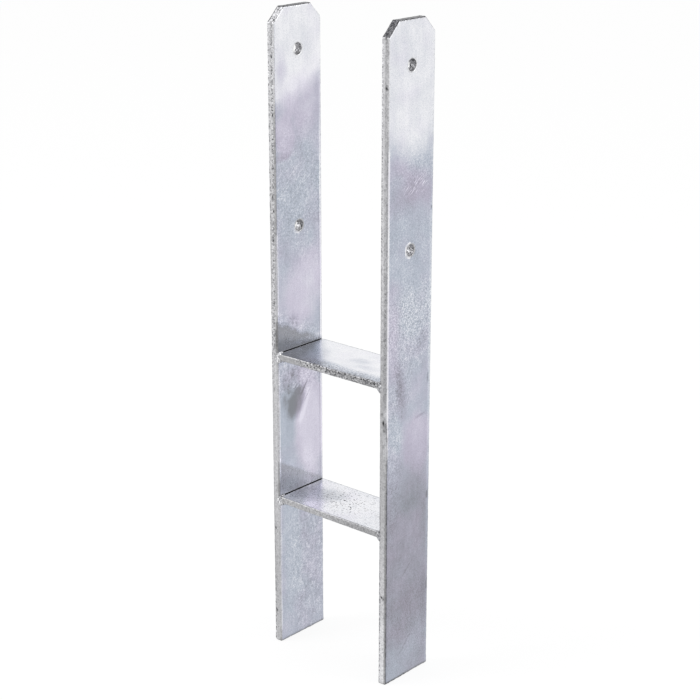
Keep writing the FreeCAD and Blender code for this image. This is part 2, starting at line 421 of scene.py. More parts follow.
def hot_dip_zinc(name, colours, relief_height):
    """Hot-dip galvanised steel. The coat freezes from a bath, so the eye sees a bright metal
    with cloudy tarnish, faint upright drain lines, a fine sandy grain, and rough grey edges
    where the zinc gathered. The mesh layers shine (0 dull, 0.5 plain, 1 bright), tarnish,
    sand, speckle, scuff, edge, cut and dark say where; shine and dark also carry painted
    highlights, painted reflections and painted shade."""
    material, add = new_material(name)
    place = add("ShaderNodeTexCoord", output="Object")
    noise = {}
    for number, (pattern, (spacing, detail, rough, turn)) in enumerate(PATTERNS.items()):
        turned = add("ShaderNodeMapping", {
            "Vector": place, "Rotation": (math.radians(turn), 0, 0)})
        spread = add("ShaderNodeMapping", {
            "Vector": turned, "Scale": [1 / (axis * MM) for axis in spacing],
            "Location": (number * 3.7,) * 3})
        noise[pattern] = add("ShaderNodeTexNoise", {
            "Vector": spread, "Scale": 1.0, "Detail": detail, "Roughness": rough})
    layer = {key: add("ShaderNodeAttribute", output="Fac", attribute_name=key)
             for key in LAYERS}

    # shine: the layer, with clouds, drain lines and grain added round it
    shine = layer["shine"]
    grain_share = add("ShaderNodeMath", {0: layer["sand"], 1: 2.4}, operation="MULTIPLY")
    for pattern, share in (("clouds", 0.36), ("drain_lines", 0.12), ("dust", 0.40),
                           ("grain", grain_share)):
        centred = add("ShaderNodeMath", {0: noise[pattern], 1: 0.5}, operation="SUBTRACT")
        shine = add("ShaderNodeMath", {0: centred, 1: share, 2: shine}, operation="MULTIPLY_ADD")
    scratch = add("ShaderNodeMapRange", {
        "Value": noise["scuffs"], "From Min": 0.56, "From Max": 0.64, "To Max": 0.3})
    shine = add("ShaderNodeMath", {0: scratch, 1: layer["scuff"], 2: shine},
                operation="MULTIPLY_ADD")
    low = add("ShaderNodeMapRange", {"Value": shine, "From Min": 0.0, "From Max": 0.5})
    high = add("ShaderNodeMapRange", {"Value": shine, "From Min": 0.5, "From Max": 1.0})

    # colour: one run of tones for bluish zinc and one for violet, mixed by tarnish
    runs = []
    for dull, plain, bright in ((colours.dull, colours.plain, colours.bright),
                                (colours.dull_lilac, colours.plain_lilac, colours.bright_lilac)):
        tone = add("ShaderNodeMix", {FACTOR: low, FIRST: linear(dull), SECOND: linear(plain)},
                   **COLOUR_MIX)
        runs.append(add("ShaderNodeMix", {FACTOR: high, FIRST: tone, SECOND: linear(bright)},
                        **COLOUR_MIX))
    centred = add("ShaderNodeMath", {0: noise["tints"], 1: 0.5}, operation="SUBTRACT")
    tarnish = add("ShaderNodeMath", {0: centred, 1: 1.4, 2: layer["tarnish"]},
                  operation="MULTIPLY_ADD", use_clamp=True)
    colour = add("ShaderNodeMix", {FACTOR: tarnish, FIRST: runs[0], SECOND: runs[1]},
                 **COLOUR_MIX)

    # edges and cut ends: greyer, flecked with painted glints and shade at about a millimetre
    edge_level = add("ShaderNodeMapRange", {
        "Value": layer["shine"], "From Min": 0.3, "From Max": 0.9, "To Min": 0.62,
        "To Max": 1.35})
    fleck = add("ShaderNodeMapRange", {
        "Value": noise["flecks"], "From Min": 0.40, "From Max": 0.60})
    evenness = add("ShaderNodeMapRange", {
        "Value": layer["speckle"], "From Max": 0.8, "To Min": 0.92, "To Max": 0.0})
    for where, (dark_fleck, glint_fleck) in FLECKS.items():
        flecked = add("ShaderNodeMix", {
            FACTOR: fleck, FIRST: linear(dark_fleck), SECOND: linear(glint_fleck)}, **COLOUR_MIX)
        base = linear(getattr(colours, where))
        tone = add("ShaderNodeMix", {FACTOR: evenness, FIRST: flecked, SECOND: base},
                   **COLOUR_MIX)
        if where == "edge":
            tone = add("ShaderNodeMix", {FACTOR: 1.0, FIRST: tone, SECOND: edge_level},
                       blend_type="MULTIPLY", **COLOUR_MIX)
        colour = add("ShaderNodeMix", {FACTOR: layer[where], FIRST: colour, SECOND: tone},
                     **COLOUR_MIX)

    # pits: small dark specks where the speckle layer asks for them, and the layer dark; the
    # near-black pit colour is painted shade in cracks, creases and deep pits
    specks = add("ShaderNodeMapRange", {
        "Value": noise["pits"], "From Min": 0.60, "From Max": 0.66})
    darkness = add("ShaderNodeMath", {0: specks, 1: layer["speckle"], 2: layer["dark"]},
                   operation="MULTIPLY_ADD", use_clamp=True)
    colour = add("ShaderNodeMix", {FACTOR: darkness, FIRST: colour, SECOND: linear(colours.pit)},
                 **COLOUR_MIX)

    # roughness: smooth where it is bright, rough on edges and in pits
    roughness = add("ShaderNodeMapRange", {
        "Value": noise["clouds"], "From Min": 0.3, "From Max": 0.7,
        "To Min": 0.15, "To Max": 0.24})
    for where, more in ((layer["edge"], 0.16), (darkness, 0.35)):
        roughness = add("ShaderNodeMath", {0: where, 1: more, 2: roughness},
                        operation="MULTIPLY_ADD")

    # relief: slow orange peel, then lumps at the flecks' size, much higher on edges
    normal = add("ShaderNodeBump", {
        "Height": noise["peel"], "Strength": 1.0, "Distance": 0.10 * MM})
    rough_places = add("ShaderNodeMath", {0: layer["edge"], 1: 3.6, 2: 0.6},
                       operation="MULTIPLY_ADD")
    lumps = add("ShaderNodeMath", {0: noise["flecks"], 1: rough_places}, operation="MULTIPLY")
    normal = add("ShaderNodeBump", {
        "Height": lumps, "Strength": 1.0, "Distance": relief_height, "Normal": normal})
    surface = add("ShaderNodeBsdfPrincipled", {
        "Base Color": colour, "Roughness": roughness, "Metallic": 1.0, "Normal": normal})
    add("ShaderNodeOutputMaterial", {"Surface": surface})
    return material


# ------------------------------------------------------------------ stains and painted light
# Patches in the coat of each broad face, one row each, in millimetres: height, place across,
# half height, half width, slant (rise per run), softness (0 sharp to 1), change of shine,
# change of tarnish. Some rows are painted light, not stains: the bright patch at the top of
# each face is painted light from above, the thin bright and dark rows near the back edge
# (26 to 30 mm across) are a painted highlight and painted shade along the rounded edge, and
# the dull patch low on the outer faces is partly tarnish and partly painted shade.
STAINS_AND_SHEEN = {
    "right_outer": (
        (560, 0, 70, 60, 0.0, 0.26, 0.38, -0.3),
        (488, 8, 12, 18, 0.0, 0.8, 0.05, -0.5),
        (455, 6, 12, 26, 0.1, 0.8, -0.12, 0.7),
        (478, -10, 10, 20, 0.0, 0.8, -0.02, 0.5),
        (415, -4, 30, 34, 0.0, 0.8, -0.02, -0.4),
        (350, 4, 30, 34, 0.0, 0.8, 0.05, -0.3),
        (330, -22, 40, 7, 0.0, 0.8, 0.05, 0.6),
        (318, 15, 8, 7, 0.4, 0.6, -0.14, 0.1),
        (280, -11, 16, 6, -1.2, 0.9, -0.30, 0.5),
        (241, -17, 14, 8, -0.6, 0.7, 0.05, -0.6),
        (226, 12, 26, 17, 0.1, 0.5, 0.08, 0.9),
        (250, 16, 1.2, 6, 0.15, 0.6, -0.25, 0.2),
        (176, 4, 20, 22, 0.3, 0.7, -0.05, -0.2),
        (90, 0, 112, 70, 0.1, 0.4, -0.29, 0.32),
        (66, 6, 26, 24, 0.5, 0.6, -0.07, 0.1),
        (20, -6, 20, 34, 0.3, 0.8, 0.14, -0.5),
        (32, -2, 1, 9, 1.0, 0.5, -0.20, 0.0),
        (106, -1, 1, 6, 0.9, 0.6, -0.15, 0.0),
        (437, 28, 2, 0.9, 0.0, 0.5, -0.5, 0.0),
        (283, 26, 5, 0.9, 0.0, 0.5, -0.5, 0.0),
        (171, 27, 4, 0.9, 0.0, 0.5, -0.5, 0.0),
        (81, 27.5, 4, 0.9, 0.0, 0.5, -0.4, 0.0),
        (240, 28, 245, 2.0, 0.0, 0.5, 0.16, -0.3),
        (545, 30, 60, 0.9, 0.0, 0.5, -0.50, 0.0),
        (1.0, 0, 1.2, 60, 0.0, 0.5, -0.40, 0.0)),
    "left_inner": (
        (574, 0, 50, 70, 0.4, 0.22, 0.42, -0.3),
        (545, -20, 8, 6, 0.3, 0.8, -0.14, 0.5),
        (512, 4, 26, 30, 0.4, 0.8, 0.10, 0.6),
        (485, -17, 18, 10, 0.0, 0.5, 0.08, 0.7),
        (469, -22, 3.5, 9, 0.1, 0.6, -0.12, 0.5),
        (430, 0, 34, 40, 0.2, 0.8, -0.03, -0.3),
        (345, 8, 30, 28, 0.4, 0.5, 0.20, 0.7),
        (345, 28.2, 190, 1.3, 0.0, 0.5, 0.50, 0.0),
        (285, 26.4, 130, 0.9, 0.0, 0.5, -0.25, 0.2),
        (370, 30.0, 215, 0.9, 0.0, 0.5, -0.60, 0.0),
        (316, -16, 7, 13, 0.0, 0.8, -0.20, 0.0),
        (295, 10, 2.5, 24, 0.0, 0.6, 0.22, 0.0),
        (262, -10, 8, 14, 0.3, 0.7, -0.16, 0.3),
        (238, -5, 14, 11, 0.6, 0.45, -0.50, -0.2),
        (240, -12, 13, 12, -0.3, 0.8, -0.26, 0.0),
        (231, 5, 8, 7, 1.8, 0.2, 0.20, 0.0),
        (249, 5, 1.6, 5, 1.3, 0.4, -0.45, 0.0),
        (241, 9, 1.4, 4, 1.3, 0.4, -0.35, 0.0),
        (220, -18, 24, 10, -0.3, 0.7, -0.04, -0.7),
        (212, 12, 52, 19, -0.5, 0.35, 0.30, 0.9),
        (90, -14, 60, 10, 0.0, 0.8, 0.06, -0.6),
        (60, 6, 60, 24, 0.1, 0.8, -0.02, 0.0),
        (1.0, 0, 1.2, 60, 0.0, 0.5, -0.40, 0.0)),
    "left_outer": (
        (565, 0, 60, 70, -0.3, 0.16, 0.34, -0.3),
        (520, 14, 20, 18, 0.3, 0.6, 0.10, 0.6),
        (430, -12, 30, 18, 0.3, 0.7, -0.14, 0.5),
        (350, 8, 34, 24, -0.2, 0.6, 0.14, -0.3),
        (268, 12, 20, 14, 0.6, 0.4, -0.22, 0.6),
        (200, -10, 26, 16, 0.2, 0.5, 0.16, 0.8),
        (100, 4, 70, 50, 0.1, 0.5, -0.18, 0.4),
        (28, -12, 18, 18, 0.0, 0.7, 0.10, -0.4)),
    "right_inner": (
        (562, 0, 56, 70, 0.3, 0.16, 0.32, -0.3),
        (500, -16, 20, 16, 0.0, 0.6, 0.10, 0.6),
        (440, 8, 26, 20, 0.4, 0.6, -0.14, 0.5),
        (360, -10, 36, 18, 0.2, 0.6, 0.12, 0.3),
        (236, -6, 18, 14, -0.8, 0.4, -0.22, 0.4),
        (215, 14, 30, 12, 0.4, 0.5, 0.16, 0.8),
        (80, -8, 60, 40, 0.0, 0.6, -0.10, 0.3)),
}

# Painted reflection of the plate, with painted shade in the corner, as dull bands above a
# plate on the inner faces, in millimetres: height over the plate at the face's middle, slant
# from front to back, softness, change of shine.
PLATE_REFLECTION_BANDS = {"left_inner": {"upper": (14, -0.45, 4, -0.56), "lower": (18, -0.55, 2, -0.24)},
       "right_inner": {"upper": (14, 0.3, 6, -0.36), "lower": (14, -0.4, 3, -0.24)}}

# Places with a coarse, sandy grain: rows as for stains, up to the softness, then its strength.
SAND = {
    "right_outer": ((335, 6, 34, 50, 0.0, 0.5, 0.65), (410, -10, 60, 50, 0.0, 0.7, 0.25),
                    (474, 5, 12, 34, 0.0, 0.7, 0.30), (225, -22, 60, 12, 0.0, 0.7, 0.45),
                    (40, 6, 40, 50, 0.0, 0.7, 0.20), (282, -10, 22, 14, 0.0, 0.6, 0.5)),
    "left_inner": ((430, 0, 60, 50, 0.0, 0.6, 0.45), (302, -8, 18, 40, -0.4, 0.5, 0.60),
                   (264, 0, 18, 40, 0.0, 0.6, 0.55), (75, 10, 80, 34, 0.0, 0.6, 0.50)),
    "left_outer": ((300, 0, 90, 60, 0.2, 0.6, 0.45), (70, 0, 60, 60, 0.0, 0.6, 0.35)),
    "right_inner": ((380, 0, 70, 60, 0.0, 0.6, 0.45), (90, 0, 60, 60, 0.0, 0.6, 0.40)),
}

# Places where the zinc ran and set in short upright waves: rows as for the sandy places.
WAVES = {
    "right_outer": ((225, -22, 75, 12, 0.0, 0.6, 0.16), (330, 0, 60, 40, 0.0, 0.6, 0.10),
                    (90, 0, 90, 40, 0.0, 0.6, 0.07)),
    "left_inner": ((75, 8, 80, 26, 0.0, 0.5, 0.20), (262, 0, 24, 40, 0.2, 0.6, 0.34),
                   (304, -10, 20, 24, -0.4, 0.6, 0.24), (440, 0, 50, 40, 0.0, 0.6, 0.08)),
    "left_outer": ((120, 0, 110, 40, 0.0, 0.6, 0.14), (420, 0, 60, 40, 0.0, 0.6, 0.10)),
    "right_inner": ((90, 0, 80, 40, 0.0, 0.6, 0.16), (400, 0, 80, 40, 0.0, 0.6, 0.10)),
}

# The coat of a broad face where nothing is listed for it.
PLAIN_SHINE, PLAIN_TARNISH, PLAIN_SAND = 0.5, 0.35, 0.10
# How far a patch's border wanders: as a share of its half size at most, and in millimetres.
WANDER_SHARE, WANDER_MM = 0.16, 3.5


def patch_weight(sheet, row, wander):
    """Weight, 0 to 1, of one listed patch over a face: 1 within its slanted ellipse and 0 outside,
    with a border that is as soft as the row says and pushed about by the field wander."""
    height, across, tall, wide, slant, softness = row[:6]
    run = sheet[:, 0] - across * MM
    climb = sheet[:, 1] - height * MM - slant * run
    push = min(WANDER_SHARE, WANDER_MM / min(tall, wide))
    distance = np.hypot(run / (wide * MM), climb / (tall * MM)) + push * wander
    return 1 - rise(distance, 1 - softness, 1 + softness)


def patches(rows, sheet, wander):
    """Sum of the rows' weights over a face, each times the strength at the row's end."""
    return sum(row[6] * patch_weight(sheet, row, wander) for row in rows)


def stains_and_sheen(face, sheet, wander, waves):
    """Shine, tarnish, sand and painted plate reflection over one broad face: plain zinc with the
    face's stains and painted light, the bands of painted reflection above the plates, waves and
    sandy places added."""
    shine = PLAIN_SHINE + waves * patches(WAVES[face], sheet, wander)
    tarnish, plate_reflection = np.full(len(sheet), PLAIN_TARNISH), np.zeros(len(sheet))
    sand = PLAIN_SAND + patches(SAND[face], sheet, wander)
    for row in STAINS_AND_SHEEN[face]:
        weight = patch_weight(sheet, row, wander)
        shine += row[6] * weight
        tarnish += row[7] * weight
    for level, (height, slant, softness, change) in PLATE_REFLECTION_BANDS.get(face, {}).items():
        over = sheet[:, 1] - node_box(f"{level}_cross_plate")[1][2]
        limit = height * MM + slant * sheet[:, 0] + 1.5 * MM * wander
        weight = (over > -1 * MM) * (1 - rise(over - limit, -softness * MM, softness * MM))
        shine += change * weight
        plate_reflection = np.maximum(plate_reflection, weight)
    return shine, tarnish, sand, plate_reflection


# ------------------------------------------------------------------ side bars
# Heights of the deep pits in each bar's front edge, in millimetres.
EDGE_PITS = {"left": (434, 338, 255, 117, 31.7),
             "right": (546, 417, 262, 254, 247, 232, 87, 85.5, 36)}
# Scratched places, on both broad faces of a bar: rows as for the sandy places.
SCUFFS = {"left": ((443, -6, 16, 24, 0.3, 0.6, 0.8), (262, 4, 14, 22, 0.4, 0.6, 0.8)),
          "right": ((460, 8, 7, 17, 0.1, 0.6, 2.2), (228, -16, 12, 8, 0.0, 0.6, 0.6),
                    (318, 10, 24, 14, 0.2, 0.6, 0.3))}
# Painted highlight and painted shade lines along the seen corner of each front edge, in
# millimetres: from, to, strength. They fade over LINE_FADE at both ends.
HIGHLIGHT_LINES = {"left": ((5, 155, 0.35), (160, 282, 0.5), (318, 408, 0.6)),
               "right": ((215, 500, 0.8),)}
SHADE_LINES = {"left": ((284, 322, 0.4), (148, 168, 0.3), (322, 600, 0.15)),
              "right": ((-40, 262, 1.0), (262, 600, 0.36))}
# Rough places along the front edges' other corner, likewise.
ROUGH_CORNERS = {"left": ((255, 345, 0.9), (-20, 75, 0.8), (400, 600, 0.5)),
                 "right": ((380, 620, 0.45), (-20, 120, 0.6))}
LINE_FADE = 14 * MM
# How bare the sheared chamfers look under their zinc: the right bar's are painted much darker than
# the left bar's, as painted shade.
CHAMFER_CUT_AND_SHADE = {"left": 0.15, "right": 0.95}
# The bar's painted shade strip at an open joint fades between these heights over the plate's top.
JOINT_FADE = (0.3 * MM, 0.8 * MM)


def bands(along, rows):
    """Strength along a bar: each row's value between its two heights, fading at both."""
    return sum(strength * rise(along, low * MM, low * MM + LINE_FADE)
               * (1 - rise(along, high * MM - LINE_FADE, high * MM))
               for low, high, strength in rows)


def painted_corner_lines(side, across, along, seen, inset, lumps):
    """Painted highlight and painted shade lines where the rounded front edge meets the face that
    shows: each is a bell across the rounding, the highlight on its broad side and the shade in
    front."""
    front = (across < 0) & (seen > 0)
    light = bell(inset, 1.1 * MM, 0.7 * MM) * (1 + 0.4 * lumps)
    low_end = (side == "right") * (1 - rise(along, 225 * MM, 262 * MM))
    dark = bell(inset, (0.1 + 0.9 * low_end) * MM, 0.35 * MM)
    return (front * light * bands(along, HIGHLIGHT_LINES[side]),
            front * dark * np.clip(1 + 0.7 * lumps, 0, 2) * bands(along, SHADE_LINES[side]))


def edge_speckle(side, along, seen, on_wall):
    """Speckle of the narrow edges: a rough line beside the seen corner, which wanders to the
    middle of the left bar's edge lower down, the rough places of the other corner, and
    little elsewhere."""
    wandered = (side == "left") * (1 - rise(along, 400 * MM, 440 * MM))
    beside = bell(seen, (1.5 - 1.3 * wandered) * MM, 0.9 * MM)
    corner = bell(seen, -2.9 * MM, 0.8 * MM) * bands(along, ROUGH_CORNERS[side])
    if side == "left":
        strength, line = 0.25 + 0.85 * rise(along, 270 * MM, 320 * MM), 0.85
    else:
        strength, line = 0.50 + 0.55 * bell(along, 330 * MM, 50 * MM), 0.2
    return on_wall * strength * (0.25 + line * beside) + 1.3 * corner


def edge_shine(side, along):
    """Shine of the narrow edges, a little above plain: the left bar's is duller near its foot
    and brighter near its top, and the right bar's is duller along the middle and bright
    near its foot."""
    if side == "left":
        return (0.65 - 0.12 * bell(along, 60 * MM, 60 * MM)
                + 0.08 * rise(along, 440 * MM, 490 * MM))
    return (0.72 - 0.21 * np.exp(-((along - 245 * MM) / (115 * MM)) ** 4)
            + 0.30 * (1 - rise(along, 40 * MM, 75 * MM)))


def bolt_hole_reach(across, along, patch):
    """For each point, its distance out from the wall of the bolt hole that it belongs to,
    its direction from that hole's axis, and whether the hole is the lower one, as it is
    up to the top of the lower hole's patch."""
    (lower_height, radius), (upper_height, _) = BOLT_HOLES
    lower = along < lower_height + patch
    from_axis = np.column_stack([across, along - np.where(lower, lower_height, upper_height)])
    distance = np.linalg.norm(from_axis, axis=1)
    from_axis /= np.maximum(distance, 0.1 * MM)[:, None]
    return distance - radius, from_axis, lower


def front_edge_pits(side, points, sign, front, seed):
    """Deep ragged pits in a bar's front edge, each a mound at its listed height: sines of the
    height vary its place, reach and depth, and random fields tear its border."""
    ragged = [rough_field(points, 1.8, seed + k) for k in range(3)]
    return mounds(points + 0.9 * MM * np.column_stack(ragged), [
        ((points[:, 0].mean() + sign * 1.6 * MM * math.sin(7 * z), front, z * MM),
         (1.0 * MM, 2.0 * MM, 0.9 * MM + 0.8 * MM * math.sin(3 * z) ** 2),
         0.6 + 0.4 * math.sin(5 * z)) for z in EDGE_PITS[side]])


def open_joint_shade(along):
    """1 at the height of each plate's end, where the bar is painted dark as shade in the open
    joint's crack.
    """
    total = np.zeros(len(along))
    for level in LEVELS:
        low, high = (corner[2] for corner in node_box(f"{level}_cross_plate"))
        total += rise(along, low - 1 * MM, low) * (
            1 - rise(along, *(high + fade for fade in JOINT_FADE)))
    return total


def bar_shell(side, settings):
    """A side bar as a closed shell in its own sheet's coordinates: across is Y, along is Z,
    and out points away from the post. Returns the shell as thicken does, the solid's lowest
    and highest corner, and the height of the shoulders under the cut corners."""
    low, high = node_box(f"{side}_side_bar")
    half, height = high[1], high[2]
    patch, radius = settings.hole_patch, settings.edge_round
    shoulder = height - settings.corner_cut
    foot = settings.foot_round

    def half_width(b):
        cut = np.clip(b - shoulder, 0, None)
        below = np.clip(foot - b, 0, foot)
        return half - cut - (foot - np.sqrt(foot**2 - below**2))

    across = stops(-half, half, settings.step_across, radius, marks=(-patch, patch))
    marks = [z + s * patch for z, _ in BOLT_HOLES for s in (-1, 1)] + [shoulder]
    marks += [node_box(f"{level}_cross_plate")[1][2] + fade for level in LEVELS
              for fade in JOINT_FADE]
    along = stops(0.0, height, settings.step_along, radius, marks=sorted(marks))
    grid = flat_grid(across, along, half_width, radius, BOLT_HOLES, patch, settings.hole_round)
    return thicken(grid, high[0] - low[0], wall_steps=9), (low, high), shoulder


def make_side_bar(side, settings, material):
    """Bar with waves in its broad faces, lumps and pits on its edges, lips round its holes."""
    (sheet, faces, inset, wall), (low, high), shoulder = bar_shell(side, settings)
    seed, sign = (11, -1) if side == "left" else (47, 1)
    across, along, out = sheet.T
    points = np.column_stack([(low[0] + high[0]) / 2 + sign * out, across, along])
    faces = outward(points, faces)

    on_wall, in_hole = wall >= 0, wall > 0
    hole_gap, from_axis, lower_hole = bolt_hole_reach(across, along, settings.hole_patch)
    clear = np.maximum(hole_gap, 0)
    rim = 1 - rise(inset, 0.2 * MM, 3.0 * MM)
    outer_edge = rim * (1 - bell(clear, 0, 4 * MM))
    slow = rough_field(points, (32, 24, 60), seed)
    lumps = rough_field(points, (2.6, 2.2, 3.2), seed + 5)
    pits = front_edge_pits(side, points, sign, low[1], seed + 17)
    drip = rise(-along, -9 * MM, -1 * MM) * (0.6 + 0.4 * lumps)
    height = (settings.waviness * slow * (1 - rim)
              + settings.edge_lumps * outer_edge * (lumps + 0.35)
              + settings.hole_lip * bell(hole_gap, 0.9 * MM, 0.6 * MM) * (1 + 0.8 * lumps)
              + settings.hole_lumps * in_hole * lumps
              + settings.foot_drip * drip * (0.4 + 0.6 * rim)
              - settings.edge_pits * pits)
    points += vertex_normals(points, faces) * height[:, None]
    fill = settings.hole_fill * np.where(lower_hole, 1.0, 0.4) * bell(clear, 0, 0.6 * MM)
    points[:, 1:] -= fill[:, None] * from_axis
    points[:, 2] = np.maximum(points[:, 2], 0)

    # the coat: stains and painted light on both broad faces, then what the edges, ends and holes
    # add
    outer = out > 0
    wander = rough_field(points, 9, seed + 9)
    waves = rough_field(points, (2.4, 2.4, 5), seed + 13)
    faces_shown = [stains_and_sheen(f"{side}_{face}", sheet[:, :2], wander, waves)
                   for face in ("outer", "inner")]
    shine, tarnish, sand, plate_reflection = (np.where(outer, *pair) for pair in zip(*faces_shown))
    shine = np.where(on_wall, edge_shine(side, along), shine)
    seen = out if side == "right" else -out
    highlight_line, shade_line = painted_corner_lines(side, across, along, seen, inset, lumps)
    # The chamfers are cut ends under thin zinc; the far rounded corner's dark outline and the
    # right bar's darker chamfers are painted shade.
    chamfer_cut_and_shade = np.maximum(CHAMFER_CUT_AND_SHADE[side], 0.8 * rise(-seen, 1.8 * MM, 2.6 * MM))
    foot_end, top_end = along < 1.0 * MM, along > high[2] - 0.8 * MM
    cut = np.select([in_hole, foot_end, top_end, along > shoulder + 0.5 * MM],
                    [np.where(lower_hole, 0.2, 0.55), 0.6, 1.0, chamfer_cut_and_shade], 0.0)
    cut *= 1 - rise(inset, 0.5 * MM, 1.2 * MM)
    cut = np.where((hole_gap < 3 * MM) & ~in_hole, 0, cut)
    # Painted shade along the fold between each narrow edge and its chamfer.
    fold_shade = on_wall * bell(along, shoulder, 1.3 * MM)
    edge = np.select([in_hole, on_wall], [2.4, 1.0], 1 - rise(inset, 0.6 * MM, 1.3 * MM))
    layers = {
        "shine": shine + highlight_line, "tarnish": tarnish, "sand": sand,
        "speckle": (edge_speckle(side, along, seen, on_wall)
                    + (along > shoulder) * edge * 0.5 + 0.6 * in_hole
                    + 0.2 * (1 - rise(inset, 1.5 * MM, 4 * MM)) * ~on_wall),
        "scuff": patches(SCUFFS[side], sheet[:, :2], wander),
        "edge": np.maximum(edge * (1 - np.clip(highlight_line, 0, 1)), 0.45 * plate_reflection),
        "cut": cut,
        "dark": (np.clip(pits * 1.2, 0, 1) + 0.85 * shade_line + fold_shade * (0.45 + 0.4 * lumps)
                 + np.where(~outer & (inset > 2 * MM), open_joint_shade(along), 0))}
    make_piece(f"{side}_bar_zinc", points, faces, layers, [f"{side}_side_bar"],
               material)


class POSTBASE_OT_side_bars(bpy.types.Operator):
    """Make both upright bars in their zinc coat"""

    bl_idname = "post_base.side_bars"
    bl_label = "Side bars"

    def execute(self, context):
        material = hot_dip_zinc("hot_dip_zinc_bar", context.scene.post_base_zinc, STOCK_RELIEF)
        for side in SIDES:
            make_side_bar(side, context.scene.post_base_bars, material)
        return {"FINISHED"}


# ------------------------------------------------------------------ cross plates
# Stains and painted reflections on the plates' tops: place along, place across, half sizes,
# slant, softness, shine, tarnish. Along runs from the left bar to the right one. A row that
# takes off more shine than the limit below is the painted reflection of the left bar, dark in
# the plate's top near it, and leaves the coat as rough as on an edge.
PLATE_STAINS_AND_REFLECTIONS = {
    "upper": (
        (10, 4, 9, 6, 0.2, 0.8, -0.22, 0.1),
        (24, -8, 8, 5, 0.4, 0.8, -0.16, 0.1),
        (-8, -18, 9, 4, 0.1, 0.7, -0.12, 0.0),
        (-62, -6, 34, 60, -0.9, 0.38, -0.58, 0.1)),
    "lower": (
        (-42, -4, 26, 18, 0.6, 0.5, -0.30, 0.1),
        (16, 10, 20, 9, 0.0, 0.8, 0.05, -0.2)),
}
BAR_REFLECTION_LIMIT = -0.28
PLATE_SHINE = 0.92
# Shine of the front edges, and how rough the long edges are as a share of the upper plate's.
PLATE_EDGE_SHINE = {"upper": 0.44, "lower": 0.50}
PLATE_ROUGHNESS = {"upper": 1.0, "lower": 0.2}


def make_cross_plate(level, settings, material):
    """Plate whose ends stop short of the bars, so that an open joint shows on top, with
    lumpy zinc along its front and back edges, fine pits on its top, and on the upper one a
    crust of slag along the right part of the front edge."""
    low, high = node_box(f"{level}_cross_plate")
    seed = 83 if level == "upper" else 131
    half = high[1]
    length = high[0] - low[0] - 2 * settings.open_joint
    across = stops(-half, half, settings.step, settings.edge_round)
    along = stops(-length / 2, length / 2, settings.step, settings.edge_round)
    grid = flat_grid(across, along, lambda b: np.full_like(b, half), settings.edge_round)
    sheet, faces, inset, wall = thicken(grid, high[2] - low[2], wall_steps=8)
    points = np.column_stack([sheet[:, 1], sheet[:, 0], (low[2] + high[2]) / 2 + sheet[:, 2]])
    faces = outward(points, faces)

    end_gap = length / 2 - np.abs(points[:, 0])
    uneven = field(points * (0, 1, 0) + seed * MM, 9, seed) * (1 - rise(end_gap, 0, 5 * MM))
    points[:, 0] -= np.sign(points[:, 0]) * 0.4 * settings.open_joint * uneven
    rim = 1 - rise(inset, 0.2 * MM, 3.0 * MM)
    long_edge = rim * rise(end_gap, 0.0, 1.5 * MM)
    roughness = PLATE_ROUGHNESS[level]
    lumps = rough_field(points, (2.4, 2.4, 2.0), seed)
    slow = rough_field(points, (30, 22, 30), seed + 3)
    height = (settings.waviness * slow * (1 - rim)
              + roughness * settings.edge_lumps * long_edge * (lumps + 0.3))
    points += vertex_normals(points, faces) * height[:, None]

    # the coat: bright with stains and the painted reflection of the left bar, and slag near the
    # upper plate's front edge
    on_wall = wall >= 0
    # The plate's end walls in the crack are painted dark as shade.
    end_wall_shade = on_wall & (end_gap < 0.4 * MM)
    edge = np.where(on_wall, 1.0, 1 - rise(inset, 0.6 * MM, 1.4 * MM)) * rise(end_gap, 0, 1 * MM)
    on_edge = edge > 0.3
    shine, tarnish, bar_reflection = (np.full(len(points), value) for value in (PLATE_SHINE, 0.0, 0.0))
    wander = rough_field(points, 7, seed + 9)
    for row in PLATE_STAINS_AND_REFLECTIONS[level]:
        weight = patch_weight(sheet[:, :2], row, wander)
        bar_reflection = np.maximum(bar_reflection, (row[6] < BAR_REFLECTION_LIMIT) * weight)
        shine += row[6] * weight
        tarnish += row[7] * weight
    # A painted highlight along each rounded plate end beside the crack, broken where the lumps
    # dip.
    end_highlight = bell(end_gap, 0.7 * MM, 0.6 * MM) * (lumps > -0.3)
    x, y, out = points[:, 0], points[:, 1], sheet[:, 2]
    right_part = rise(x, -45 * MM, -20 * MM)
    slag = roughness**2 * right_part * rise(-y, half - 17 * MM, half - 2 * MM)
    front_shine = PLATE_EDGE_SHINE[level] - 0.12 * rise(x, -20 * MM, 40 * MM)
    shine = np.where(on_edge, front_shine, shine - 0.5 * slag) + end_highlight
    middle = bell(x, -5 * MM, 22 * MM) * bell(y, 2 * MM, 16 * MM)
    sparkle = {"upper": 0.7 * slag, "lower": 0.3 + 0.8 * middle}[level]
    crust = slag * (out > 0.2 * MM) * on_edge * rise(lumps, 0.0, 0.45)
    layers = {
        "shine": shine, "tarnish": tarnish, "scuff": 0.0, "cut": 0.0,
        "edge": np.maximum(edge, 0.5 * bar_reflection), "sand": 0.15 + slag if level == "upper" else 0.45,
        "speckle": sparkle + roughness**2 * edge * (
            0.10 + 0.8 * right_part * rise(out, -1 * MM, 2 * MM)),
        "dark": np.maximum(end_wall_shade, 0.45 * crust)}
    make_piece(f"{level}_plate_zinc", points, faces, layers, [f"{level}_cross_plate"],
               material)


class POSTBASE_OT_cross_plates(bpy.types.Operator):
    """Make both cross plates in their zinc coat"""

    bl_idname = "post_base.cross_plates"
    bl_label = "Cross plates"

    def execute(self, context):
        material = hot_dip_zinc("hot_dip_zinc_plate", context.scene.post_base_zinc, STOCK_RELIEF)
        for level in LEVELS:
            make_cross_plate(level, context.scene.post_base_plates, material)
        return {"FINISHED"}


